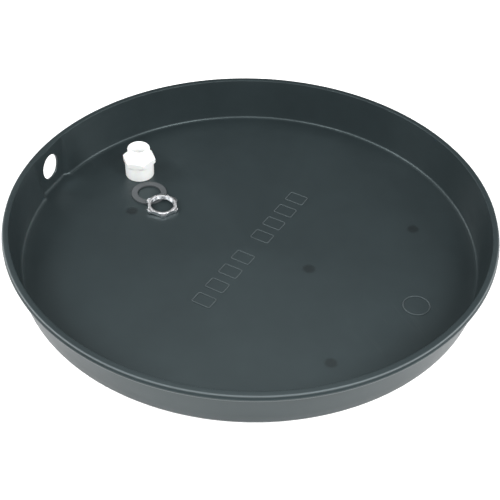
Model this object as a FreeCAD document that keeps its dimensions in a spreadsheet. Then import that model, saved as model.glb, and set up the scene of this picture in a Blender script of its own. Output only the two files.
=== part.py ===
import FreeCAD, Part
import os

import Sketcher
from FreeCAD import Placement, Rotation, Vector

# A round, shallow moulded drain pan that stands under a tank or an appliance and catches what leaks.
# The kit for its drain port lies loose in it: a threaded adapter, a sealing washer and a locknut.
# Millimetres. The origin is the centre of the underside, +Z is up, and the drain port faces -X.

SIZES = {
    # the pan's section, from the middle out to the rim and the skirt that hangs from it
    "pan_height": 65.5,
    "floor_thickness": 3.0,
    "base_radius": 312.8,
    "base_round": 4.8,
    "floor_corner_radius": 310.2,
    "floor_corner_round": 6.0,
    "inner_top_radius": 320.9,
    "lip_chamfer": 1.0,
    "wall_top_radius": 323.7,
    "rim_radius": 328.8,
    "rim_thickness": 3.0,
    "rim_round": 1.1,
    "skirt_inner_radius": 326.6,
    "skirt_radius": 330.2,
    "skirt_foot_radius": 329.2,
    "skirt_height": 9.0,
    "skirt_foot_rise": 2.0,
    "skirt_bulge_rise": 4.0,
    # the flat in the wall round the drain port, which leans outwards by the draft angle
    "port_face_distance": 314.7,
    "port_lean": 3.5,
    "port_wall": 3.0,
    "port_base_half": 28.0,
    "port_top_half": 38.0,
    "port_depth": 24.0,
    "port_cut_depth": 3.6,
    "port_radius": 18.5,
    "port_height": 35.5,
    # the threaded adapter, standing on its socket end
    "socket_radius": 21.0,
    "socket_length": 23.0,
    "socket_bore_radius": 16.7,
    "socket_bore_depth": 22.0,
    "collar_flats": 42.6,
    "collar_thickness": 8.0,
    "spigot_radius": 16.6,
    "spigot_length": 16.5,
    "spigot_chamfer": 1.2,
    "adapter_bore_radius": 12.7,
    # the flat rubber washer
    "washer_radius": 25.25,
    "washer_hole_radius": 16.8,
    "washer_thickness": 2.5,
    # the thin locknut: a hexagon with a blunt lug at each corner, crowned on its upper face
    "nut_flats": 40.6,
    "nut_lug_reach": 23.6,
    "nut_lug_width": 6.4,
    "nut_thickness": 5.2,
    "nut_hole_radius": 15.4,
    "nut_skirt_radius": 24.2,
    "nut_crown_radius": 20.4,
    "nut_crown_depth": 1.2,
    # where the loose pieces lie on the floor
    "adapter_x": -215.8,
    "adapter_y": 79.3,
    "adapter_turn": 14.0,
    "washer_x": -180.6,
    "washer_y": 42.7,
    "nut_x": -148.6,
    "nut_y": 22.6,
    "nut_turn": 1.0,
    "nut_tilt": 4.2,
    "nut_lift": 1.8,
}

doc = FreeCAD.newDocument("drain_pan")
sheet = doc.addObject("Spreadsheet::Sheet", "Sizes")
for row, (alias, value) in enumerate(SIZES.items(), start=1):
    sheet.set(f"A{row}", alias)
    sheet.set(f"B{row}", str(value))
    sheet.setAlias(f"B{row}", alias)
doc.recompute()


# ---- drawing and building helpers ----

def make(kind, name, **bound):
    """Adds an object to the document and binds its named properties to the size sheet."""
    item = doc.addObject(kind, name)
    for prop, expression in bound.items():
        item.setExpression(prop, expression)
    return item


def new_sketch(body, name, role):
    """Starts a sketch on one of the body's own origin planes."""
    sketch = body.newObject("Sketcher::SketchObject", name)
    plane = next(p for p in body.Origin.OriginFeatures if p.Role == role)
    sketch.AttachmentSupport = [(plane, "")]
    sketch.MapMode = "FlatFace"
    return sketch


def draw_outline(sketch, corners):
    """Draws a closed outline of straight lines through corners given as (across, up) expressions."""
    def number(text):
        value = sketch.evalExpression(text)
        return getattr(value, "Value", value)

    points = [Vector(number(across), number(up), 0) for across, up in corners]
    count = len(points)
    for i in range(count):
        sketch.addGeometry(Part.LineSegment(points[i], points[(i + 1) % count]), False)
    for i in range(count):
        sketch.addConstraint(Sketcher.Constraint("Coincident", i, 2, (i + 1) % count, 1))
    for i, (across, up) in enumerate(corners):
        for kind, axis, text, value in (("DistanceX", -2, across, points[i].x),
                                        ("DistanceY", -1, up, points[i].y)):
            if text == "0":
                sketch.addConstraint(Sketcher.Constraint("PointOnObject", i, 1, axis))
                continue
            index = sketch.addConstraint(Sketcher.Constraint(kind, -1, 1, i, 1, value))
            sketch.renameConstraint(index, f"{kind}{i}")
            sketch.setExpression(f"Constraints.{kind}{i}", text)


def turned_body(name, corners):
    """A body turned about +Z from a half section in the XZ plane."""
    body = doc.addObject("PartDesign::Body", name)
    sketch = new_sketch(body, f"{name}_section", "XZ_Plane")
    draw_outline(sketch, corners)
    turned = body.newObject("PartDesign::Revolution", f"{name}_turned")
    turned.Profile = sketch
    turned.ReferenceAxis = (sketch, ["V_Axis"])
    turned.Angle = 360.0
    doc.recompute()
    return body


def round_edges(body, name, radius, chosen):
    """Rounds the full circular edges that the test picks by radius and height."""
    base = body.Tip
    edges = [f"Edge{i}" for i, edge in enumerate(base.Shape.Edges, start=1)
             if isinstance(edge.Curve, Part.Circle) and edge.Closed
             and chosen(edge.Curve.Radius, edge.Curve.Center.z)]
    rounded = body.newObject("PartDesign::Fillet", name)
    rounded.Base = (base, edges)
    rounded.setExpression("Radius", radius)
    doc.recompute()


def flatten_for_port(body, grow, low, high, cut_depth):
    """Makes the side of a turned body flat round the drain port.

    The flat is a trapezoid on a plane that leans out. The body is cut back to that plane where it
    stands past it, by up to the cut's depth, and filled out to it where it falls short. The plane stands
    out, and the trapezoid is wider, by grow.
    """
    half_base = f"Sizes.port_base_half + {grow}"
    half_top = f"Sizes.port_top_half + {grow}"
    corners = [(f"-({half_base})", low), (half_base, low), (half_top, high), (f"-({half_top})", high)]
    for kind, word, depth in (("Pocket", "cut", cut_depth), ("Pad", "fill", "Sizes.port_depth")):
        sketch = new_sketch(body, f"{body.Name}_{word}_outline", "YZ_Plane")
        sketch.AttachmentOffset = Placement(Vector(0, 0, 0), Rotation(Vector(1, 0, 0), 1.0))
        sketch.setExpression("AttachmentOffset.Base.z", f"-(Sizes.port_face_distance + {grow})")
        sketch.setExpression("AttachmentOffset.Rotation.Angle", "-Sizes.port_lean")
        draw_outline(sketch, corners)
        feature = body.newObject(f"PartDesign::{kind}", f"{body.Name}_port_{word}")
        feature.Profile = sketch
        feature.setExpression("Length", depth)
        before = body.Shape.Volume
        doc.recompute()
        print(body.Name, word, "changes the volume by", round(feature.Shape.Volume - before), "mm3")


def cylinder(name, radius, height, across="0", along="0", up="0"):
    return make("Part::Cylinder", name, **{
        "Radius": radius, "Height": height,
        "Placement.Base.x": across, "Placement.Base.y": along, "Placement.Base.z": up})


def hexagon(name, flats, height, up="0"):
    """A hexagonal prism, sized across its flats."""
    return make("Part::Prism", name, **{
        "Circumradius": f"{flats} / (2 * cos(30 deg))", "Height": height, "Placement.Base.z": up})


def bar(name, length, width, height, angle):
    """A flat bar whose middle is over the origin, turned by an angle about +Z."""
    return make("Part::Box", name, **{
        "Length": length, "Width": width, "Height": height,
        "Placement.Rotation.Angle": angle,
        "Placement.Base.x": f"({width} * sin({angle}) - {length} * cos({angle})) / 2",
        "Placement.Base.y": f"-({length} * sin({angle}) + {width} * cos({angle})) / 2"})


def joined(kind, name, first, second):
    """A Part::Cut or Part::Common of two shapes."""
    item = doc.addObject(kind, name)
    item.Base, item.Tool = first, second
    return item


def fused(name, *shapes):
    item = doc.addObject("Part::MultiFuse", name)
    item.Shapes = list(shapes)
    item.Refine = True
    return item


def place(item, x, y, z, angle, about=Vector(0, 0, 1)):
    """Turns a loose piece by an angle about an axis and lays it at its place on the floor."""
    item.Placement = Placement(Vector(0, 0, 0), Rotation(about, 1.0))
    item.setExpression("Placement.Rotation.Angle", angle)
    for axis, expression in zip("xyz", (x, y, z)):
        item.setExpression(f"Placement.Base.{axis}", expression)


# ---- the pan: one moulding, a turned shell with a flat and a hole for the drain ----

rim_underside = "Sizes.pan_height - Sizes.rim_thickness"
skirt_underside = "Sizes.pan_height - Sizes.skirt_height"
blank = turned_body("blank", [
    ("0", "0"),
    ("Sizes.base_radius", "0"),
    ("Sizes.wall_top_radius", rim_underside),
    ("Sizes.skirt_inner_radius", rim_underside),
    ("Sizes.skirt_inner_radius", skirt_underside),
    ("Sizes.skirt_foot_radius", skirt_underside),
    ("Sizes.skirt_radius", f"{skirt_underside} + Sizes.skirt_foot_rise"),
    ("Sizes.skirt_radius", f"{skirt_underside} + Sizes.skirt_bulge_rise"),
    ("Sizes.rim_radius", rim_underside),
    ("Sizes.rim_radius", "Sizes.pan_height"),
    ("0", "Sizes.pan_height")])
round_edges(blank, "base_edge", "Sizes.base_round", lambda radius, height: height < 1.0)
round_edges(blank, "rim_edge", "Sizes.rim_round",
            lambda radius, height: height > SIZES["pan_height"] - 0.01)
flatten_for_port(blank, "Sizes.port_wall", "0", rim_underside, "Sizes.port_cut_depth")

cavity = turned_body("cavity", [
    ("0", "Sizes.floor_thickness"),
    ("Sizes.floor_corner_radius", "Sizes.floor_thickness"),
    ("Sizes.inner_top_radius", "Sizes.pan_height - Sizes.lip_chamfer"),
    ("Sizes.inner_top_radius + 2 * Sizes.lip_chamfer", "Sizes.pan_height + Sizes.lip_chamfer"),
    ("0", "Sizes.pan_height + Sizes.lip_chamfer")])
round_edges(cavity, "floor_corner", "Sizes.floor_corner_round",
            lambda radius, height: height < SIZES["floor_thickness"] + 1.0)
flatten_for_port(cavity, "0", "Sizes.floor_thickness", "Sizes.pan_height + 2 * Sizes.lip_chamfer",
                 "Sizes.port_depth")

port_hole = cylinder("port_hole", "Sizes.port_radius", "2 * Sizes.port_depth",
                     across="-Sizes.port_face_distance + Sizes.port_depth", up="Sizes.port_height")
port_hole.Placement.Rotation = Rotation(Vector(0, 1, 0), -90)
shell = joined("Part::Cut", "shell", blank, cavity)
pan = joined("Part::Cut", "pan", shell, port_hole)

# ---- the drain adapter: socket, hexagonal collar and threaded spigot in one moulding ----

collar_top = "Sizes.socket_length + Sizes.collar_thickness"
adapter_top = f"{collar_top} + Sizes.spigot_length"
spigot_end = make("Part::Cone", "spigot_end", **{
    "Radius1": "Sizes.spigot_radius", "Radius2": "Sizes.spigot_radius - Sizes.spigot_chamfer",
    "Height": "Sizes.spigot_chamfer", "Placement.Base.z": f"{adapter_top} - Sizes.spigot_chamfer"})
adapter_body = fused(
    "adapter_body",
    cylinder("socket", "Sizes.socket_radius", "Sizes.socket_length"),
    hexagon("collar", "Sizes.collar_flats", "Sizes.collar_thickness", up="Sizes.socket_length"),
    cylinder("spigot", "Sizes.spigot_radius", "Sizes.spigot_length - Sizes.spigot_chamfer",
             up=collar_top),
    spigot_end)
adapter_hollow = fused(
    "adapter_hollow",
    cylinder("socket_bore", "Sizes.socket_bore_radius", "Sizes.socket_bore_depth"),
    cylinder("through_bore", "Sizes.adapter_bore_radius", adapter_top))
drain_adapter = joined("Part::Cut", "drain_adapter", adapter_body, adapter_hollow)
place(drain_adapter, "Sizes.adapter_x", "Sizes.adapter_y", "Sizes.floor_thickness",
      "Sizes.adapter_turn")

# ---- the sealing washer: a flat ring cut from rubber sheet ----

sealing_washer = joined(
    "Part::Cut", "sealing_washer",
    cylinder("washer_disc", "Sizes.washer_radius", "Sizes.washer_thickness"),
    cylinder("washer_hole", "Sizes.washer_hole_radius", "Sizes.washer_thickness"))
place(sealing_washer, "Sizes.washer_x", "Sizes.washer_y", "Sizes.floor_thickness", "0 deg")

# ---- the locknut: a thin hexagon with six lugs, turned off above to a round crown ----

nut_shoulder = "Sizes.nut_thickness - Sizes.nut_crown_depth"
nut_hexagon = hexagon("nut_hexagon", "Sizes.nut_flats", "Sizes.nut_thickness")
nut_hexagon.setExpression("Placement.Rotation.Angle", "Sizes.nut_turn")
nut_lugs = [bar(f"nut_lugs_{turn}", "(2 * Sizes.nut_lug_reach)", "Sizes.nut_lug_width",
                "Sizes.nut_thickness", f"(Sizes.nut_turn + {turn})") for turn in (0, 60, 120)]
nut_blank = fused("nut_blank", nut_hexagon, *nut_lugs)
nut_envelope = fused(
    "nut_envelope",
    cylinder("nut_skirt", "Sizes.nut_skirt_radius", nut_shoulder),
    make("Part::Cone", "nut_crown", **{
        "Radius1": "Sizes.nut_skirt_radius", "Radius2": "Sizes.nut_crown_radius",
        "Height": "Sizes.nut_crown_depth", "Placement.Base.z": nut_shoulder}))
nut_solid = joined("Part::Common", "nut_solid", nut_blank, nut_envelope)
nut_hole = cylinder("nut_hole", "Sizes.nut_hole_radius", "Sizes.nut_thickness")
locknut = joined("Part::Cut", "locknut", nut_solid, nut_hole)
# One edge of the nut lies on the washer, so it leans away from it, about a level line across the two.
away = Vector(SIZES["nut_x"] - SIZES["washer_x"], SIZES["nut_y"] - SIZES["washer_y"], 0).normalize()
place(locknut, "Sizes.nut_x", "Sizes.nut_y", "Sizes.floor_thickness + Sizes.nut_lift",
      "Sizes.nut_tilt", about=Vector(-away.y, away.x, 0))

# ---- check every object, then write one file for each piece ----

doc.recompute()
for item in doc.Objects:
    if {"Invalid", "Error"} & set(item.State):
        raise RuntimeError(f"{item.Name} did not compute: {item.State}")

os.makedirs("parts", exist_ok=True)
for piece in (pan, drain_adapter, sealing_washer, locknut):
    shape = piece.Shape
    if shape.isNull() or not shape.isValid() or len(shape.Solids) != 1:
        raise RuntimeError(f"{piece.Label} is not one valid solid")
    box = shape.BoundBox
    print(f"{piece.Label}: {shape.Volume / 1000:.1f} cm3, "
          f"x {box.XMin:.1f} to {box.XMax:.1f}, y {box.YMin:.1f} to {box.YMax:.1f}, "
          f"z {box.ZMin:.2f} to {box.ZMax:.2f}")
    shape.exportStep(f"parts/{piece.Label}.step")
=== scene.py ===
import math

import bpy
import numpy as np
from mathutils import Matrix, Quaternion, Vector


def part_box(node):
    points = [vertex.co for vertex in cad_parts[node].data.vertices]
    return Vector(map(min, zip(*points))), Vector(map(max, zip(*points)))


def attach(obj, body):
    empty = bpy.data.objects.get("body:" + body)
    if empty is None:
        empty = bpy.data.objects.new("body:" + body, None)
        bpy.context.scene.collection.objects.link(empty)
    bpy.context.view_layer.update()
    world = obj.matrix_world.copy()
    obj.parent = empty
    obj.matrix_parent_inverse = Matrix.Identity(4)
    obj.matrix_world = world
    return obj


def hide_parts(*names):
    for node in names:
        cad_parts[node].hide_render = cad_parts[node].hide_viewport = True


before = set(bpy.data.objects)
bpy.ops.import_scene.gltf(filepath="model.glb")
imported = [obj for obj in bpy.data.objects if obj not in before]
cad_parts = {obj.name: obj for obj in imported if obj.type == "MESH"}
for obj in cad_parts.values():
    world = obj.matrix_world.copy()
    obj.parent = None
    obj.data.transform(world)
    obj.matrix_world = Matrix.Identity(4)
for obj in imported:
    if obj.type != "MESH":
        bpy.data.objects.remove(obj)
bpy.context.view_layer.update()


# ---- The pan ----
# One injection moulding in dark slate polypropylene, about 3 mm thick all over. The wall leans out so that
# it leaves the mould, and ends in a flat rim with a short bulging skirt. A flat in it takes the drain.

low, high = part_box("pan")
skirt_radius = (high.y - low.y) / 2
rim_height = high.z
floor_top = 0.003
base_radius = skirt_radius - 0.0174
corner_radius = skirt_radius - 0.0200
lip_radius = skirt_radius - 0.0093
wall_top_radius = skirt_radius - 0.0065
rim_radius = skirt_radius - 0.0014
rim_underside = rim_height - 0.0030
skirt_inner_radius = skirt_radius - 0.0036
skirt_foot = rim_height - 0.0090

port_face = 0.3147
port_lean = math.tan(math.radians(3.5))
port_wall = 0.003
port_half_width = (0.028, 0.038)
port_flare = 0.008
port_hole_radius = 0.0185
port_hole_height = 0.0355


def rounded_path(corners, radii, steps=6):
    """A path through corners, each rounded to its own radius.

    An arc of that radius touches both runs at radius / tan(half the corner's angle) from the corner. Its
    centre is on the bisector, at radius / sin(half the angle). A radius of 0 keeps the corner.
    """
    corners = np.array(corners, float)
    points = []
    for i, (corner, radius) in enumerate(zip(corners, radii)):
        if radius == 0:
            points.append(corner[None])
            continue
        before = corners[i - 1] - corner
        after = corners[(i + 1) % len(corners)] - corner
        before, after = before / np.linalg.norm(before), after / np.linalg.norm(after)
        half = math.acos(np.clip(before @ after, -1, 1)) / 2
        bisector = (before + after) / np.linalg.norm(before + after)
        centre = corner + bisector * radius / math.sin(half)
        start = math.pi / 2 - half
        share = np.linspace(-start, start, steps + 1)[:, None]
        across = after - bisector * (after @ bisector)
        across = across / np.linalg.norm(across)
        points.append(centre + radius * (np.sin(share) * across - np.cos(share) * bisector))
    return np.vstack(points)


def divided(path, longest):
    """The same path with every run longer than the limit cut into equal shorter ones."""
    parts = [np.linspace(start, end, max(1, math.ceil(np.linalg.norm(end - start) / longest)),
                         endpoint=False) for start, end in zip(path[:-1], path[1:])]
    return np.vstack(parts + [path[-1:]])


def surface(name, grid, closed_section):
    """A closed mesh from a grid of points whose columns run round and whose rows follow a section.

    Each square of the grid is one face. Columns join the last to the first. A closed section joins its
    rows in the same way. An open one begins and ends on the axis, where its end rows are one point each,
    with a fan of triangles. Faces are turned outwards if the enclosed volume comes out negative.
    """
    grid = np.asarray(grid, float)
    if closed_section:
        points = grid.reshape(-1, 3)
        rows, columns = grid.shape[:2]
        index = np.arange(rows * columns).reshape(rows, columns)
        below, above = index, np.roll(index, -1, axis=0)
        fans = np.zeros((0, 3), int)
    else:
        body = grid[1:-1]
        rows, columns = body.shape[:2]
        points = np.vstack([body.reshape(-1, 3), grid[0].mean(0), grid[-1].mean(0)])
        index = np.arange(rows * columns).reshape(rows, columns)
        below, above = index[:-1], index[1:]
        first, last = np.full(columns, rows * columns), np.full(columns, rows * columns + 1)
        fans = np.vstack([np.stack([first, np.roll(index[0], -1), index[0]], 1),
                          np.stack([last, index[-1], np.roll(index[-1], -1)], 1)])
    squares = np.stack([below, np.roll(below, -1, axis=1), np.roll(above, -1, axis=1), above], -1)
    squares = squares.reshape(-1, 4)
    triangles = np.vstack([squares[:, :3], squares[:, [0, 2, 3]], fans])
    a, b, c = (points[triangles[:, i]] for i in range(3))
    if np.einsum("ij,ij->i", a, np.cross(b, c)).sum() < 0:
        squares, fans = squares[:, ::-1], fans[:, ::-1]
    mesh = bpy.data.meshes.new(name)
    mesh.from_pydata(points.tolist(), [], squares.tolist() + fans.tolist())
    return mesh


def shown(name, mesh, sharp_angle=32):
    """Links a mesh as an object, smooth but for the edges that bend more than an angle in degrees."""
    mesh.shade_smooth()
    mesh.set_sharp_from_angle(angle=math.radians(sharp_angle))
    piece = bpy.data.objects.new(name, mesh)
    bpy.context.scene.collection.objects.link(piece)
    return piece


def turned(profile, columns=72):
    """The grid of a profile of (radius, height) points turned about the Z axis."""
    angle = np.linspace(0, 2 * np.pi, columns, endpoint=False)
    radius, height = np.array(profile, float).T
    return np.stack([radius[:, None] * np.cos(angle), radius[:, None] * np.sin(angle),
                     np.repeat(height[:, None], columns, 1)], -1)


def smooth_step(x):
    """From 0 to 1 with level ends: x^2 (3 - 2x)."""
    x = np.clip(x, 0, 1)
    return x * x * (3 - 2 * x)


def flattened_for_port(points, radius, inside, grip):
    """Moves the points round the drain port along X, on to a flat that leans out with height.

    A point of the round wall at a given Y has X = -sqrt(wall radius^2 - Y^2), and the flat has
    X = -(face + height * lean). The move is the difference, times 1 across the flat, falling to 0 over
    the flare at each side of it, and times the grip, which fades out along the floor.
    """
    x, y, z = points[..., 0], points[..., 1], points[..., 2]
    grow = np.where(inside, 0.0, port_wall)
    half = np.interp(z, (0, rim_height), port_half_width) + grow
    share = np.clip((half - np.abs(y)) / port_flare + 0.6, 0, 1)
    width = (0.5 * share + 0.5 * smooth_step(share)) * (x < 0)
    on_circle = np.sqrt(np.maximum(radius**2 - y**2, 0))
    moved = points.copy()
    moved[..., 0] += grip * width * (on_circle - (port_face + grow + z * port_lean))
    return moved


# The section starts in the middle of the floor, runs up the inside, over the rim, under its skirt and
# down the outside.
section_corners = [
    (0, floor_top), (corner_radius, floor_top), (lip_radius, rim_height), (rim_radius, rim_height),
    (rim_radius - 0.0001, rim_underside), (skirt_radius, skirt_foot + 0.0038),
    (skirt_radius, skirt_foot + 0.0020), (skirt_radius - 0.0010, skirt_foot),
    (skirt_inner_radius, skirt_foot), (skirt_inner_radius, rim_underside),
    (wall_top_radius, rim_underside), (base_radius, 0), (0, 0)]
section_rounds = [0, 0.0055, 0.0010, 0.0009, 0.0004, 0.0008, 0.0010, 0.0005, 0.0005, 0.0006, 0.0010,
                  0.0048, 0]
longest_run = 0.013
section = divided(rounded_path(section_corners, section_rounds), longest_run)
section_radius, section_height = section.T
top_row = int(np.argmax(section_height + 1e-3 * (section_radius < lip_radius + 0.002)))
inside = np.arange(len(section)) <= top_row
inner_cone = np.interp(section_height, (floor_top, rim_height), (corner_radius, lip_radius))
outer_cone = np.interp(section_height, (0, rim_underside), (base_radius, wall_top_radius))
wall_radius = np.where(inside, inner_cone, outer_cone)
on_skirt = ~inside & (section_radius > wall_top_radius + 0.0002)
level = ((section_height <= floor_top + 1e-6) & inside) | ((section_height <= 1e-6) & ~inside)
grip = np.where(level, smooth_step((section_radius - corner_radius + 0.03) / 0.024), 1.0)
grip[on_skirt | (section_height > rim_height - 1e-6) & (section_radius > lip_radius + 0.003)] = 0

# Fine columns cross the port's flat, and coarser ones go round the rest.
port_reach = math.radians(8.6)
angle = np.pi + np.concatenate([
    np.linspace(-port_reach, port_reach, 140, endpoint=False),
    np.linspace(port_reach, 2 * np.pi - port_reach, 380, endpoint=False)])
pan_grid = np.stack([section_radius[:, None] * np.cos(angle), section_radius[:, None] * np.sin(angle),
                     np.repeat(section_height[:, None], len(angle), 1)], -1)
pan_grid = flattened_for_port(pan_grid, wall_radius[:, None], inside[:, None], grip[:, None])

# A thin floor this wide is never quite level: long shallow waves, gone again where it meets the wall.
wave_height = 0.0003
x, y = pan_grid[..., 0], pan_grid[..., 1]
waves = (np.sin(21 * x + 8 * y + 0.4) + 0.8 * np.sin(17 * y - 11 * x + 2.1)
         + 0.5 * np.sin(34 * x - 23 * y + 1.2)) / 2.3
on_floor = (level & inside)[:, None] * smooth_step((corner_radius - 0.01 - section_radius) / 0.06)[:, None]
pan_grid[..., 2] += wave_height * waves * on_floor
pan_mesh = surface("pan_moulding", pan_grid, closed_section=False)


def ridge(path, width, height, sunk=0.0012):
    """The grid of a raised bead along a closed path given as (x, y) points on the floor.

    The section is half an ellipse of that width and height, on square sides that are sunk in the floor.
    It is laid across the path's normal, the tangent turned by a right angle.
    """
    tangent = np.roll(path, -1, axis=0) - np.roll(path, 1, axis=0)
    normal = np.stack([tangent[:, 1], -tangent[:, 0]], 1)
    normal = normal / np.linalg.norm(normal, axis=1)[:, None]
    turn = np.linspace(0, np.pi, 9)
    across = np.concatenate([width / 2 * np.cos(turn), [-width / 2, width / 2]])
    up = np.concatenate([height * np.sin(turn), [-sunk, -sunk]])
    flat = path[None] + across[:, None, None] * normal[None]
    level_up = np.repeat(floor_top + up[:, None, None], len(path), 1)
    return np.concatenate([flat, level_up], -1)


def rectangle(centre, half_length, half_width, turn, corner):
    """The points of a rectangle with rounded corners, turned about its centre."""
    points = rounded_path([(-half_length, -half_width), (half_length, -half_width),
                           (half_length, half_width), (-half_length, half_width)], [corner] * 4)
    return points @ np.array([(math.cos(turn), math.sin(turn)), (-math.sin(turn), math.cos(turn))]) + centre


# Raised on the floor: one thin ring, and a row of plain frames that crosses the middle. A bead's size is
# its width and height.
ring_bead = (0.0020, 0.0011)
mark_bead = (0.0018, 0.0010)
mark_half_size = (0.0095, 0.0135)
mark_corner = 0.0025
ring_centre = (0.2436, -0.0126)
ring_radius = 0.0175
mark_middle = np.array((0.003, 0.0010))
mark_turn = math.radians(84)
mark_offsets = (0.026, 0.059, 0.092, 0.125)
mark_direction = np.array((math.cos(mark_turn), math.sin(mark_turn)))
ring_angle = np.linspace(0, 2 * np.pi, 120, endpoint=False)
ring_path = ring_radius * np.stack([np.cos(ring_angle), np.sin(ring_angle)], 1) + ring_centre
raised = [ridge(ring_path, *ring_bead)]
for side in (-1, 1):
    for offset in mark_offsets:
        outline = rectangle(mark_middle + side * offset * mark_direction, *mark_half_size, mark_turn,
                            mark_corner)
        raised.append(ridge(outline, *mark_bead))

# Sunk in the floor: the round prints of four ejector pins.
pin_prints = [(0.0902, -0.0075), (0.1804, -0.1561), (0.1902, 0.1342), (-0.1836, -0.0031)]
print_radius = 0.0085
print_depth = 0.00015
pin_profile = [(0, floor_top - print_depth), (print_radius - 0.0002, floor_top - print_depth),
               (print_radius, floor_top + 0.002), (0, floor_top + 0.002)]


def cut_or_join(mesh, operation, parts):
    """Cuts closed grids out of a mesh, or joins them to it, and gives the new mesh."""
    base = bpy.data.objects.new("base", mesh)
    bpy.context.scene.collection.objects.link(base)
    tools = []
    for i, (grid, closed_section) in enumerate(parts):
        tool = bpy.data.objects.new(f"tool_{i}", surface(f"tool_{i}", grid, closed_section))
        bpy.context.scene.collection.objects.link(tool)
        modifier = base.modifiers.new(tool.name, "BOOLEAN")
        modifier.operation, modifier.solver, modifier.object = operation, "EXACT", tool
        tools.append(tool)
    result = bpy.data.meshes.new_from_object(
        base.evaluated_get(bpy.context.evaluated_depsgraph_get()))
    for item in [base, *tools]:
        bpy.data.objects.remove(item)
    return result


hole = turned([(0, 0), (port_hole_radius, 0), (port_hole_radius, 0.04), (0, 0.04)], 96)
hole = np.stack([-port_face + 0.015 - hole[..., 2], hole[..., 1], port_hole_height + hole[..., 0]], -1)
prints = [(turned(pin_profile) + np.array((*place, 0)), False) for place in pin_prints]
pan_mesh = cut_or_join(pan_mesh, "DIFFERENCE", [(hole, False), *prints])
pan_mesh = cut_or_join(pan_mesh, "UNION", [(grid, True) for grid in raised])
pan = shown("pan_moulding", pan_mesh)
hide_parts("pan")
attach(pan, "pan")


def node(tree, kind, inputs=None, **settings):
    """Adds a shader node. Inputs gives its sockets' values, or the sockets that feed them."""
    made = tree.nodes.new(kind)
    for name, value in settings.items():
        setattr(made, name, value)
    for name, value in (inputs or {}).items():
        if isinstance(value, bpy.types.NodeSocket):
            tree.links.new(value, made.inputs[name])
        else:
            made.inputs[name].default_value = value
    return made


def shader_group(name, inputs, output):
    """A node group with named float inputs besides its Vector, and one float output."""
    group = bpy.data.node_groups.new(name, "ShaderNodeTree")
    group.interface.new_socket("Vector", in_out="INPUT", socket_type="NodeSocketVector")
    for label, value in inputs.items():
        socket = group.interface.new_socket(label, in_out="INPUT", socket_type="NodeSocketFloat")
        socket.default_value = value
    group.interface.new_socket(output, in_out="OUTPUT", socket_type="NodeSocketFloat")
    start, end = node(group, "NodeGroupInput"), node(group, "NodeGroupOutput")
    return group, start.outputs, end.inputs[0]


# Uneven tone: two sizes of soft cloud, centred on 1, to multiply a colour or a roughness by.
uneven, given, result = shader_group("uneven_tone", {"Scale": 8.0, "Amount": 0.1}, "Factor")
broad = node(uneven, "ShaderNodeTexNoise", {"Vector": given["Vector"], "Scale": given["Scale"],
                                            "Detail": 3.0, "Roughness": 0.55})
finer_scale = node(uneven, "ShaderNodeMath", {0: given["Scale"], 1: 7.0}, operation="MULTIPLY")
finer = node(uneven, "ShaderNodeTexNoise", {"Vector": given["Vector"], "Scale": finer_scale.outputs[0],
                                            "Detail": 2.0})
both = node(uneven, "ShaderNodeMath", {0: finer.outputs["Fac"], 1: 0.35, 2: broad.outputs["Fac"]},
            operation="MULTIPLY_ADD")
centred = node(uneven, "ShaderNodeMath", {0: both.outputs[0], 1: 0.675}, operation="SUBTRACT")
scaled = node(uneven, "ShaderNodeMath", {0: centred.outputs[0], 1: given["Amount"], 2: 1.0},
              operation="MULTIPLY_ADD")
uneven.links.new(scaled.outputs[0], result)

# Grain: the fine pebbled skin that a spark-eroded mould leaves, as a height.
grain, given, result = shader_group("moulded_grain", {"Scale": 900.0}, "Height")
pebbles = node(grain, "ShaderNodeTexVoronoi", {"Vector": given["Vector"], "Scale": given["Scale"]},
               feature="SMOOTH_F1")
coarse_scale = node(grain, "ShaderNodeMath", {0: given["Scale"], 1: 0.4}, operation="MULTIPLY")
rolling = node(grain, "ShaderNodeTexNoise", {"Vector": given["Vector"], "Scale": coarse_scale.outputs[0],
                                             "Detail": 3.0})
height = node(grain, "ShaderNodeMath", {0: pebbles.outputs["Distance"], 1: 0.5,
                                        2: rolling.outputs["Fac"]}, operation="MULTIPLY_ADD")
grain.links.new(height.outputs[0], result)

# Scuffs: a mask of sparse thin lines, where a noise stretched along one direction crosses its middle.
scuffs, given, result = shader_group("scuffs", {"Scale": 30.0, "Turn": 0.5, "Amount": 0.5}, "Mask")
turned_vector = node(scuffs, "ShaderNodeVectorRotate", {"Vector": given["Vector"], "Angle": given["Turn"]},
                     rotation_type="Z_AXIS")
stretched = node(scuffs, "ShaderNodeVectorMath", {0: turned_vector.outputs[0], 1: (0.06, 1.0, 1.0)},
                 operation="MULTIPLY")
lines = node(scuffs, "ShaderNodeTexNoise", {"Vector": stretched.outputs[0], "Scale": given["Scale"],
                                            "Detail": 4.0, "Distortion": 0.4})
off_middle = node(scuffs, "ShaderNodeMath", {0: lines.outputs["Fac"], 1: 0.5}, operation="SUBTRACT")
distance = node(scuffs, "ShaderNodeMath", {0: off_middle.outputs[0]}, operation="ABSOLUTE")
thin = node(scuffs, "ShaderNodeMapRange", {"Value": distance.outputs[0], "From Max": 0.006,
                                           "To Min": 1.0, "To Max": 0.0})
where = node(scuffs, "ShaderNodeTexNoise", {"Vector": given["Vector"], "Scale": 6.0, "Detail": 2.0})
patches = node(scuffs, "ShaderNodeMapRange", {"Value": where.outputs["Fac"], "From Min": 0.52,
                                              "From Max": 0.68})
sparse = node(scuffs, "ShaderNodeMath", {0: thin.outputs[0], 1: patches.outputs[0]},
              operation="MULTIPLY")
mask = node(scuffs, "ShaderNodeMath", {0: sparse.outputs[0], 1: given["Amount"]}, operation="MULTIPLY")
scuffs.links.new(mask.outputs[0], result)


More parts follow.
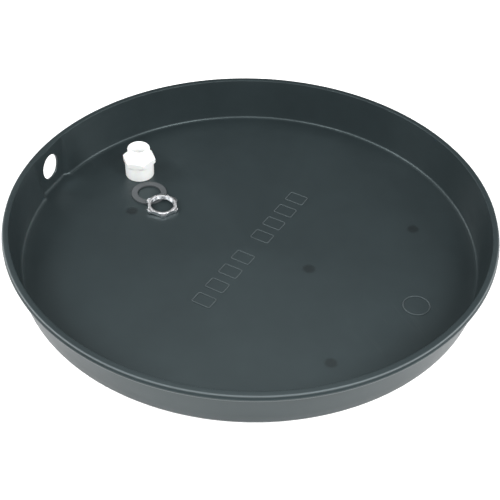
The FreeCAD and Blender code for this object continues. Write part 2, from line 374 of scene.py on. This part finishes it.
def material(name, base_color, roughness, **fixed):
    """A new material with one Principled shader. Fixed values are set on the shader's own sockets."""
    made = bpy.data.materials.new(name)
    made.use_nodes = True
    tree = made.node_tree
    shader = tree.nodes["Principled BSDF"]
    shader.inputs["Base Color"].default_value = (*base_color, 1)
    shader.inputs["Roughness"].default_value = roughness
    for label, value in fixed.items():
        shader.inputs[label.replace("_", " ")].default_value = value
    place = node(tree, "ShaderNodeTexCoord").outputs["Object"]
    return made, tree, shader, place


def placed(tree, group, vector, **inputs):
    """A node group in a material, with its own values; gives its output socket."""
    made = node(tree, "ShaderNodeGroup", node_tree=group)
    tree.links.new(vector, made.inputs["Vector"])
    for label, value in inputs.items():
        made.inputs[label].default_value = value
    return made.outputs[0]


def multiplied(tree, color, factor):
    """A fixed colour times a value that varies over the surface."""
    return node(tree, "ShaderNodeVectorMath", {0: color, "Scale": factor}, operation="SCALE").outputs[0]


def roughened(tree, shader, value, factor):
    """Feeds the roughness: a middle value times a factor that varies over the surface."""
    rough = node(tree, "ShaderNodeMath", {0: factor, 1: value}, operation="MULTIPLY")
    tree.links.new(rough.outputs[0], shader.inputs["Roughness"])


def bumped(tree, shader, height, depth):
    """Feeds the normal from a height, in metres."""
    bump = node(tree, "ShaderNodeBump", {"Height": height, "Distance": depth, "Strength": 1.0})
    tree.links.new(bump.outputs[0], shader.inputs["Normal"])


def mixed(tree, factor, first, second):
    """A colour between two, each a fixed colour or a socket."""
    return node(tree, "ShaderNodeMix", {0: factor, 6: first, 7: second}, data_type="RGBA").outputs[2]


def off_axis(tree, place, x, y):
    """The level distance of a place from the upright axis through x and y."""
    flat = node(tree, "ShaderNodeVectorMath", {0: place, 1: (1, 1, 0)}, operation="MULTIPLY")
    return node(tree, "ShaderNodeVectorMath", {0: flat.outputs[0], 1: (x, y, 0)},
                operation="DISTANCE").outputs["Value"]


pan_color = (0.0165, 0.0232, 0.0252)
pan_roughness = 0.36
pan_scuff_color = (0.09, 0.098, 0.10, 1)
pan_print_color = (0.009, 0.012, 0.013, 1)
# Pale colour for the rubbed tops of the raised strokes, which also stands in for their highlight, and a
# painted highlight on the rim's outer edge.
pan_wear_and_highlight_color = (0.075, 0.088, 0.093, 1)
plastic, tree, shader, place = material("slate_polypropylene", pan_color, pan_roughness,
                                        Specular_IOR_Level=0.42,
                                        Specular_Tint=(0.80, 0.97, 1.0, 1))
tone = placed(tree, uneven, place, Scale=7.0, Amount=0.5)
color = multiplied(tree, pan_color, tone)
print_mask = None
for spot in pin_prints:
    away = node(tree, "ShaderNodeVectorMath", {0: place, 1: (*spot, floor_top)}, operation="DISTANCE")
    here = node(tree, "ShaderNodeMapRange", {"Value": away.outputs["Value"],
                                             "From Min": print_radius * 0.7,
                                             "From Max": print_radius * 1.15,
                                             "To Min": 1.0, "To Max": 0.0})
    print_mask = here.outputs[0] if print_mask is None else node(
        tree, "ShaderNodeMath", {0: print_mask, 1: here.outputs[0]}, operation="MAXIMUM").outputs[0]
color = mixed(tree, print_mask, color, pan_print_color)
color = mixed(tree, placed(tree, scuffs, place, Scale=26.0, Turn=0.7, Amount=0.06), color,
              pan_scuff_color)
# Raised strokes on the floor are rubbed pale along their tops, which also paints in the highlight they
# catch. The outer edge of the rim gets the same pale colour as a painted highlight.
stroke_wear_and_highlight, edge_highlight = 0.45, 1.0
stroke_top = floor_top + ring_bead[1] + 0.0002
rising = node(tree, "ShaderNodeSeparateXYZ", {0: place}).outputs["Z"]
reach_out = off_axis(tree, place, 0, 0)
on_stroke = node(tree, "ShaderNodeMapRange", {"Value": rising, "From Min": floor_top + 0.0004,
                                              "From Max": floor_top + 0.0009, "To Max": stroke_wear_and_highlight})
below_top = node(tree, "ShaderNodeMath", {0: rising, 1: stroke_top}, operation="LESS_THAN")
off_corner = node(tree, "ShaderNodeMath", {0: reach_out, 1: corner_radius - 0.03}, operation="LESS_THAN")
stroke = node(tree, "ShaderNodeMath", {0: on_stroke.outputs[0], 1: below_top.outputs[0]},
              operation="MULTIPLY")
stroke = node(tree, "ShaderNodeMath", {0: stroke.outputs[0], 1: off_corner.outputs[0]},
              operation="MULTIPLY")
# Painted highlight: a pale band along the rounded outer edge of the rim, where light would catch it.
on_edge = node(tree, "ShaderNodeMapRange", {"Value": reach_out, "From Min": rim_radius - 0.0016,
                                            "From Max": rim_radius - 0.0004, "To Max": edge_highlight})
on_top = node(tree, "ShaderNodeMath", {0: rising, 1: rim_underside + 0.0012},
              operation="GREATER_THAN")
edge = node(tree, "ShaderNodeMath", {0: on_edge.outputs[0], 1: on_top.outputs[0]}, operation="MULTIPLY")
wear_and_highlight = node(tree, "ShaderNodeMath", {0: stroke.outputs[0], 1: edge.outputs[0]}, operation="MAXIMUM")
# Mixes in the pale colour: wear with a painted highlight on the strokes, and a painted highlight on the rim
# edge.
color = mixed(tree, wear_and_highlight.outputs[0], color, pan_wear_and_highlight_color)
tree.links.new(color, shader.inputs["Base Color"])
roughened(tree, shader, pan_roughness, placed(tree, uneven, place, Scale=11.0, Amount=0.3))
bumped(tree, shader, placed(tree, grain, place, Scale=1100.0), 0.00002)
pan.data.materials.clear()
pan.data.materials.append(plastic)


# ---- The drain adapter ----
# One white PVC moulding: a plain socket below that a pipe is cemented into, a hexagonal collar for a
# spanner, and a tapered pipe thread above. It stands loose on the floor of the pan, thread upwards.

low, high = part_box("drain_adapter")
adapter_middle = Vector(((low.x + high.x) / 2, (low.y + high.y) / 2, low.z))
adapter_turn = math.radians(14)
adapter_length = high.z - low.z
collar_flats = 0.0426
thread_pitch = 0.0254 / 11.5
thread_depth = 0.0014
thread_start, thread_end = 0.0322, 0.0466


def six_sided(angle, flats, softness=80):
    """Reach of a hexagon at an angle from one of its corners, with softly rounded corners.

    Half the width across flats, divided by the p-norm of the cosines to the six sides' directions.
    """
    sides = np.radians(30 + 60 * np.arange(6))[:, None]
    toward = np.maximum(np.cos(angle[None] - sides), 0)
    return flats / 2 / (toward**softness).sum(0) ** (1 / softness)


def tooth(phase):
    """A pipe thread's section over one pitch: 0 at the root, 1 at the crest, both cut a little flat."""
    rise = 1 - np.abs(2 * (phase % 1) - 1)
    return np.clip((rise - 0.09) / 0.82, 0, 1)


def helix_phase(height, angle):
    """Turns of a right-hand thread: height over pitch, less the share of the turn."""
    return height / thread_pitch - angle / (2 * np.pi)


# Outside from the foot up, over the end of the thread, and down through the bore. The collar's reach is
# only a limit there, which turns the hexagon's corners off above and below.
foot = rounded_path([(0.0209, 0.012), (0.0207, 0), (0.0173, 0), (0.01665, 0.0010), (0.0166, 0.012)],
                    [0, 0.0009, 0.0003, 0.0003, 0])
collar_low, collar_high = 0.023, 0.031
outside = np.vstack([
    foot[::-1][-8:], rounded_path([(0.0209, 0.014), (0.0210, collar_low - 0.0002)], [0, 0])])
collar = np.array([(0.0222, collar_low), (0.0233, collar_low + 0.0004), (0.0248, collar_low + 0.0013),
                   (0.0260, collar_low + 0.0022), (0.0260, collar_high - 0.0022),
                   (0.0248, collar_high - 0.0013), (0.0233, collar_high - 0.0004), (0.0222, collar_high)])
spigot_rows = np.linspace(collar_high + 0.0006, thread_end, 110)
spigot = np.stack([0.0166 - (spigot_rows - collar_high) / 32, spigot_rows], 1)
mouth = rounded_path([(0.0160, thread_end), (0.0150, adapter_length), (0.0127, adapter_length),
                      (0.0127, 0.022), (0.0163, 0.022), (0.0166, 0.013)],
                     [0, 0.0004, 0.0007, 0.0004, 0.0006, 0])
profile = np.vstack([outside, collar, [(0.0172, collar_high), (0.0167, collar_high + 0.0003)], spigot,
                     mouth[1:], foot[::-1][:-8]])
adapter_angle = np.linspace(0, 2 * np.pi, 216, endpoint=False)
reach = np.repeat(profile[:, :1], len(adapter_angle), 1)
height = np.repeat(profile[:, 1:], len(adapter_angle), 1)
is_collar = np.zeros(len(profile), bool)
is_collar[len(outside):len(outside) + len(collar)] = True
reach[is_collar] = np.minimum(reach[is_collar], six_sided(adapter_angle, collar_flats))
is_thread = np.zeros(len(profile), bool)
thread_first = len(outside) + len(collar) + 2
is_thread[thread_first:thread_first + len(spigot)] = True
fade = smooth_step((height - thread_start + 0.001) / 0.003) * smooth_step((thread_end - height) / 0.001)
groove = thread_depth * fade * (1 - tooth(helix_phase(height, adapter_angle[None])))
reach[is_thread] -= groove[is_thread]
around = adapter_angle + adapter_turn
adapter_grid = np.stack([adapter_middle.x + reach * np.cos(around),
                         adapter_middle.y + reach * np.sin(around), adapter_middle.z + height], -1)
adapter = shown("drain_adapter_moulding", surface("drain_adapter_moulding", adapter_grid, True), 28)
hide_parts("drain_adapter")
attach(adapter, "adapter")

pvc_color = (0.84, 0.85, 0.84)
pvc_roughness = 0.32
pvc, tree, shader, place = material("white_pvc_moulding", pvc_color, pvc_roughness, Subsurface_Weight=0.08,
                                    Subsurface_Scale=0.002)
tree.links.new(multiplied(tree, pvc_color, placed(tree, uneven, place, Scale=45.0, Amount=0.06)),
               shader.inputs["Base Color"])
roughened(tree, shader, pvc_roughness, placed(tree, uneven, place, Scale=90.0, Amount=0.35))
bumped(tree, shader, placed(tree, grain, place, Scale=1600.0), 0.000012)
adapter.data.materials.append(pvc)


# ---- The sealing washer ----
# A flat ring stamped out of black rubber sheet. It lies on the floor, a little out of flat.

low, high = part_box("sealing_washer")
washer_middle = (low + high) / 2
washer_radius = (high.x - low.x) / 2
washer_hole = 0.0168
washer_profile = divided(rounded_path(
    [(washer_hole, low.z), (washer_radius, low.z), (washer_radius, high.z), (washer_hole, high.z)],
    [0.0002, 0.0003, 0.0004, 0.0003], 4), 0.0015)
washer_grid = turned(washer_profile, 160)
spread = np.hypot(washer_grid[..., 0], washer_grid[..., 1])
bearing = np.arctan2(washer_grid[..., 1], washer_grid[..., 0])
washer_grid[..., 2] += 0.0001 * np.sin(2 * bearing + 1.1) * (spread - washer_hole) / washer_hole
washer_grid[..., :2] += np.array(washer_middle[:2])
washer = shown("sealing_washer_ring", surface("sealing_washer_ring", washer_grid, True))
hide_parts("sealing_washer")
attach(washer, "washer")

rubber_color = (0.050, 0.056, 0.060)
rubber_roughness = 0.62
rubber_dust_color = (0.16, 0.165, 0.17, 1)
rubber, tree, shader, place = material("black_rubber_sheet", rubber_color, rubber_roughness)
dusted = mixed(tree, placed(tree, scuffs, place, Scale=220.0, Turn=1.2, Amount=0.25),
               multiplied(tree, rubber_color, placed(tree, uneven, place, Scale=60.0, Amount=0.5)),
               rubber_dust_color)
tree.links.new(dusted, shader.inputs["Base Color"])
roughened(tree, shader, rubber_roughness, placed(tree, uneven, place, Scale=120.0, Amount=0.25))
bumped(tree, shader, placed(tree, grain, place, Scale=2200.0), 0.00004)
washer.data.materials.append(rubber)


# ---- The locknut ----
# A thin steel nut, stamped with six lugs, turned to a round crown above, tapped right through and zinc
# plated. One side of it lies on the washer and the other comes down to the floor.

low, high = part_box("locknut")
nut_middle = (low + high) / 2
nut_turn = math.radians(1)
nut_tilt = math.radians(4.2)
nut_thickness = 0.0052
nut_flats = 0.0406
lug_reach = 0.0236
lug_width = 0.0064
nut_hole = 0.0154
crown_start = nut_thickness - 0.0012


def lugged(angle, sharpness=110):
    """Reach of the nut at an angle from a lug: a hexagon, or where it reaches further a square lug.

    The hexagon is flats / 2 / cos(30 degrees - angle). The lug ends at reach / cos(angle), and its flank
    is at width / 2 / sin(angle). Their smooth minimum and maximum are p-norms, which round the corners.
    """
    off = np.abs((angle + np.pi / 6) % (np.pi / 3) - np.pi / 6)
    hexagon = nut_flats / 2 / np.cos(np.pi / 6 - off)
    end = lug_reach / np.cos(off)
    flank = lug_width / 2 / np.maximum(np.sin(off), 1e-3)
    unit = lug_reach
    lug = ((end / unit) ** -sharpness + (flank / unit) ** -sharpness) ** (-1 / sharpness)
    return unit * ((hexagon / unit) ** sharpness + lug**sharpness) ** (1 / sharpness)


bounds = np.radians([-30, -10, -6.5, 6.5, 10, 30])
sector = np.concatenate([np.linspace(start, end, steps, endpoint=False)
                         for start, end, steps in zip(bounds[:-1], bounds[1:], (9, 10, 8, 10, 9))])
nut_angle = np.concatenate([sector + np.pi / 3 * i for i in range(6)])
outline = lugged(nut_angle)
# Each row is (reach limit, height). From the hole out along the underside, up, and back over the crown.
rim_rows = np.array([(0.0169, 0), (0.0185, 0), (0.0200, 0), (0.0300, 0.00025), (0.0300, 0.0006),
                     (0.0300, 0.0022), (0.0300, crown_start - 0.0003), (0.0242, crown_start),
                     (0.0230, crown_start + 0.00038), (0.0217, crown_start + 0.00079),
                     (0.0208, crown_start + 0.00106), (0.0203, nut_thickness), (0.0185, nut_thickness),
                     (0.0168, nut_thickness), (0.0164, nut_thickness - 0.0001)])
hole_rows = np.linspace(nut_thickness - 0.0002, 0.0001, 48)
rim_reach = np.minimum(rim_rows[:, :1], outline[None])
rim_reach[2] = np.minimum(outline - 0.0003, rim_reach[2] + 0.01)
hole_height = np.repeat(hole_rows[:, None], len(nut_angle), 1)
cut = 1 - tooth(helix_phase(hole_height, nut_angle[None]))
ends = np.minimum(hole_height, nut_thickness - hole_height)
countersink = np.maximum(0.0163 - 1.1 * ends, nut_hole)
hole_reach = np.maximum(nut_hole + 0.0011 * cut, countersink)
reach = np.vstack([rim_reach, hole_reach])
height = np.vstack([np.repeat(rim_rows[:, 1:], len(nut_angle), 1), hole_height]) - nut_thickness / 2
flat_nut = np.stack([reach * np.cos(nut_angle + nut_turn), reach * np.sin(nut_angle + nut_turn), height],
                    -1)
# It leans about a level line across the direction from the washer to it.
away = Vector((nut_middle.x - washer_middle.x, nut_middle.y - washer_middle.y, 0)).normalized()
lean = np.array(Matrix.Rotation(nut_tilt, 3, Vector((-away.y, away.x, 0))))
nut_grid = flat_nut @ lean.T + np.array(nut_middle)
nut_grid[..., 2] += low.z - nut_grid[..., 2].min()
nut = shown("locknut_stamping", surface("locknut_stamping", nut_grid, True), 28)
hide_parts("locknut")
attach(nut, "nut")

zinc_color = (0.74, 0.75, 0.77)
# Dark colour painted into the tapped hole: painted shade, together with the duller cut thread.
thread_shade_color = (0.16, 0.17, 0.18, 1)
zinc_roughness = 0.3
zinc, tree, shader, place = material("bright_zinc_plate", zinc_color, zinc_roughness, Metallic=1.0)
zinc_shade = multiplied(tree, zinc_color, placed(tree, uneven, place, Scale=140.0, Amount=0.25))
# The tapped hole is painted dark. This is painted shade in the hole, on top of the cut thread being duller
# than the plated faces.
from_axis = off_axis(tree, place, nut_middle.x, nut_middle.y)
outside_hole = node(tree, "ShaderNodeMapRange", {"Value": from_axis, "From Min": 0.0162,
                                           "From Max": 0.0168})
tree.links.new(mixed(tree, outside_hole.outputs[0], thread_shade_color, zinc_shade), shader.inputs["Base Color"])
roughened(tree, shader, zinc_roughness, placed(tree, uneven, place, Scale=200.0, Amount=0.7))
bumped(tree, shader, placed(tree, scuffs, place, Scale=500.0, Turn=0.3, Amount=1.0), 0.00003)
nut.data.materials.append(zinc)


# ---- The stage ----
# A plain pale floor that runs out of sight, soft boxes round the pan, and a camera above its near side.

stage_half = 6.0
stage_mesh = bpy.data.meshes.new("stage_floor")
corners = np.array([(-1, -1), (1, -1), (1, 1), (-1, 1)]) * stage_half
stage_mesh.from_pydata([(cx, cy, -0.0002) for cx, cy in corners.tolist()], [], [(0, 1, 2, 3)])
stage = bpy.data.objects.new("stage_floor", stage_mesh)
bpy.context.scene.collection.objects.link(stage)
paper, tree, shader, place = material("pale_floor", (0.88, 0.88, 0.88), 0.9,
                                      Emission_Color=(1, 1, 1, 1), Emission_Strength=0.27)
stage.data.materials.append(paper)

world = bpy.data.worlds.new("studio")
bpy.context.scene.world = world
world.use_nodes = True
seen_strength, lit_strength = 1.2, 0.04
sky = world.node_tree
seen = node(sky, "ShaderNodeLightPath").outputs["Is Camera Ray"]
sky_strength = node(sky, "ShaderNodeMath", {0: seen, 1: seen_strength, 2: lit_strength},
                    operation="MULTIPLY_ADD")
sky.nodes["Background"].inputs["Color"].default_value = (1, 1, 1, 1)
sky.links.new(sky_strength.outputs[0], sky.nodes["Background"].inputs["Strength"])


def soft_box(name, azimuth, elevation, distance, size, power):
    """A square area light that faces the pan. Azimuth 0 is towards -Y, and 90 degrees is towards +X."""
    data = bpy.data.lights.new(name, "AREA")
    data.shape, data.size, data.energy = "SQUARE", size, power
    light = bpy.data.objects.new(name, data)
    bpy.context.scene.collection.objects.link(light)
    a, e = math.radians(azimuth), math.radians(elevation)
    back = Vector((math.sin(a) * math.cos(e), -math.cos(a) * math.cos(e), math.sin(e)))
    light.location = back * distance
    light.rotation_mode = "QUATERNION"
    light.rotation_quaternion = (-back).to_track_quat("-Z", "Y")


view_azimuth = 23.5
light_distance, light_size = 2.5, 0.9
for name, turn, elevation, power in (
        ("near_left", -45, 45, 31), ("near_right", 45, 45, 47), ("near", 0, 40, 21),
        ("left", -90, 38, 38), ("right_low", 90, 28, 30), ("over_back", 180, 60, 7),
        ("back_left", -135, 28, 14), ("back_right", 135, 28, 9)):
    soft_box(name, view_azimuth + turn, elevation, light_distance, light_size, power)

camera_data = bpy.data.cameras.new("camera")
camera = bpy.data.objects.new("camera", camera_data)
bpy.context.scene.collection.objects.link(camera)
bpy.context.scene.camera = camera
view_elevation = 40.97
view_distance = 1.574
view_roll = 1.539
camera_data.sensor_width = 36
camera_data.lens = 82.30
camera_data.shift_x, camera_data.shift_y = -0.0007, -0.0035
a, e = math.radians(view_azimuth), math.radians(view_elevation)
back = Vector((math.sin(a) * math.cos(e), -math.cos(a) * math.cos(e), math.sin(e)))
camera.location = back * view_distance
camera.rotation_mode = "QUATERNION"
camera.rotation_quaternion = ((-back).to_track_quat("-Z", "Y")
                              @ Quaternion((0, 0, 1), math.radians(view_roll)))
bpy.context.scene.view_settings.view_transform = "Standard"
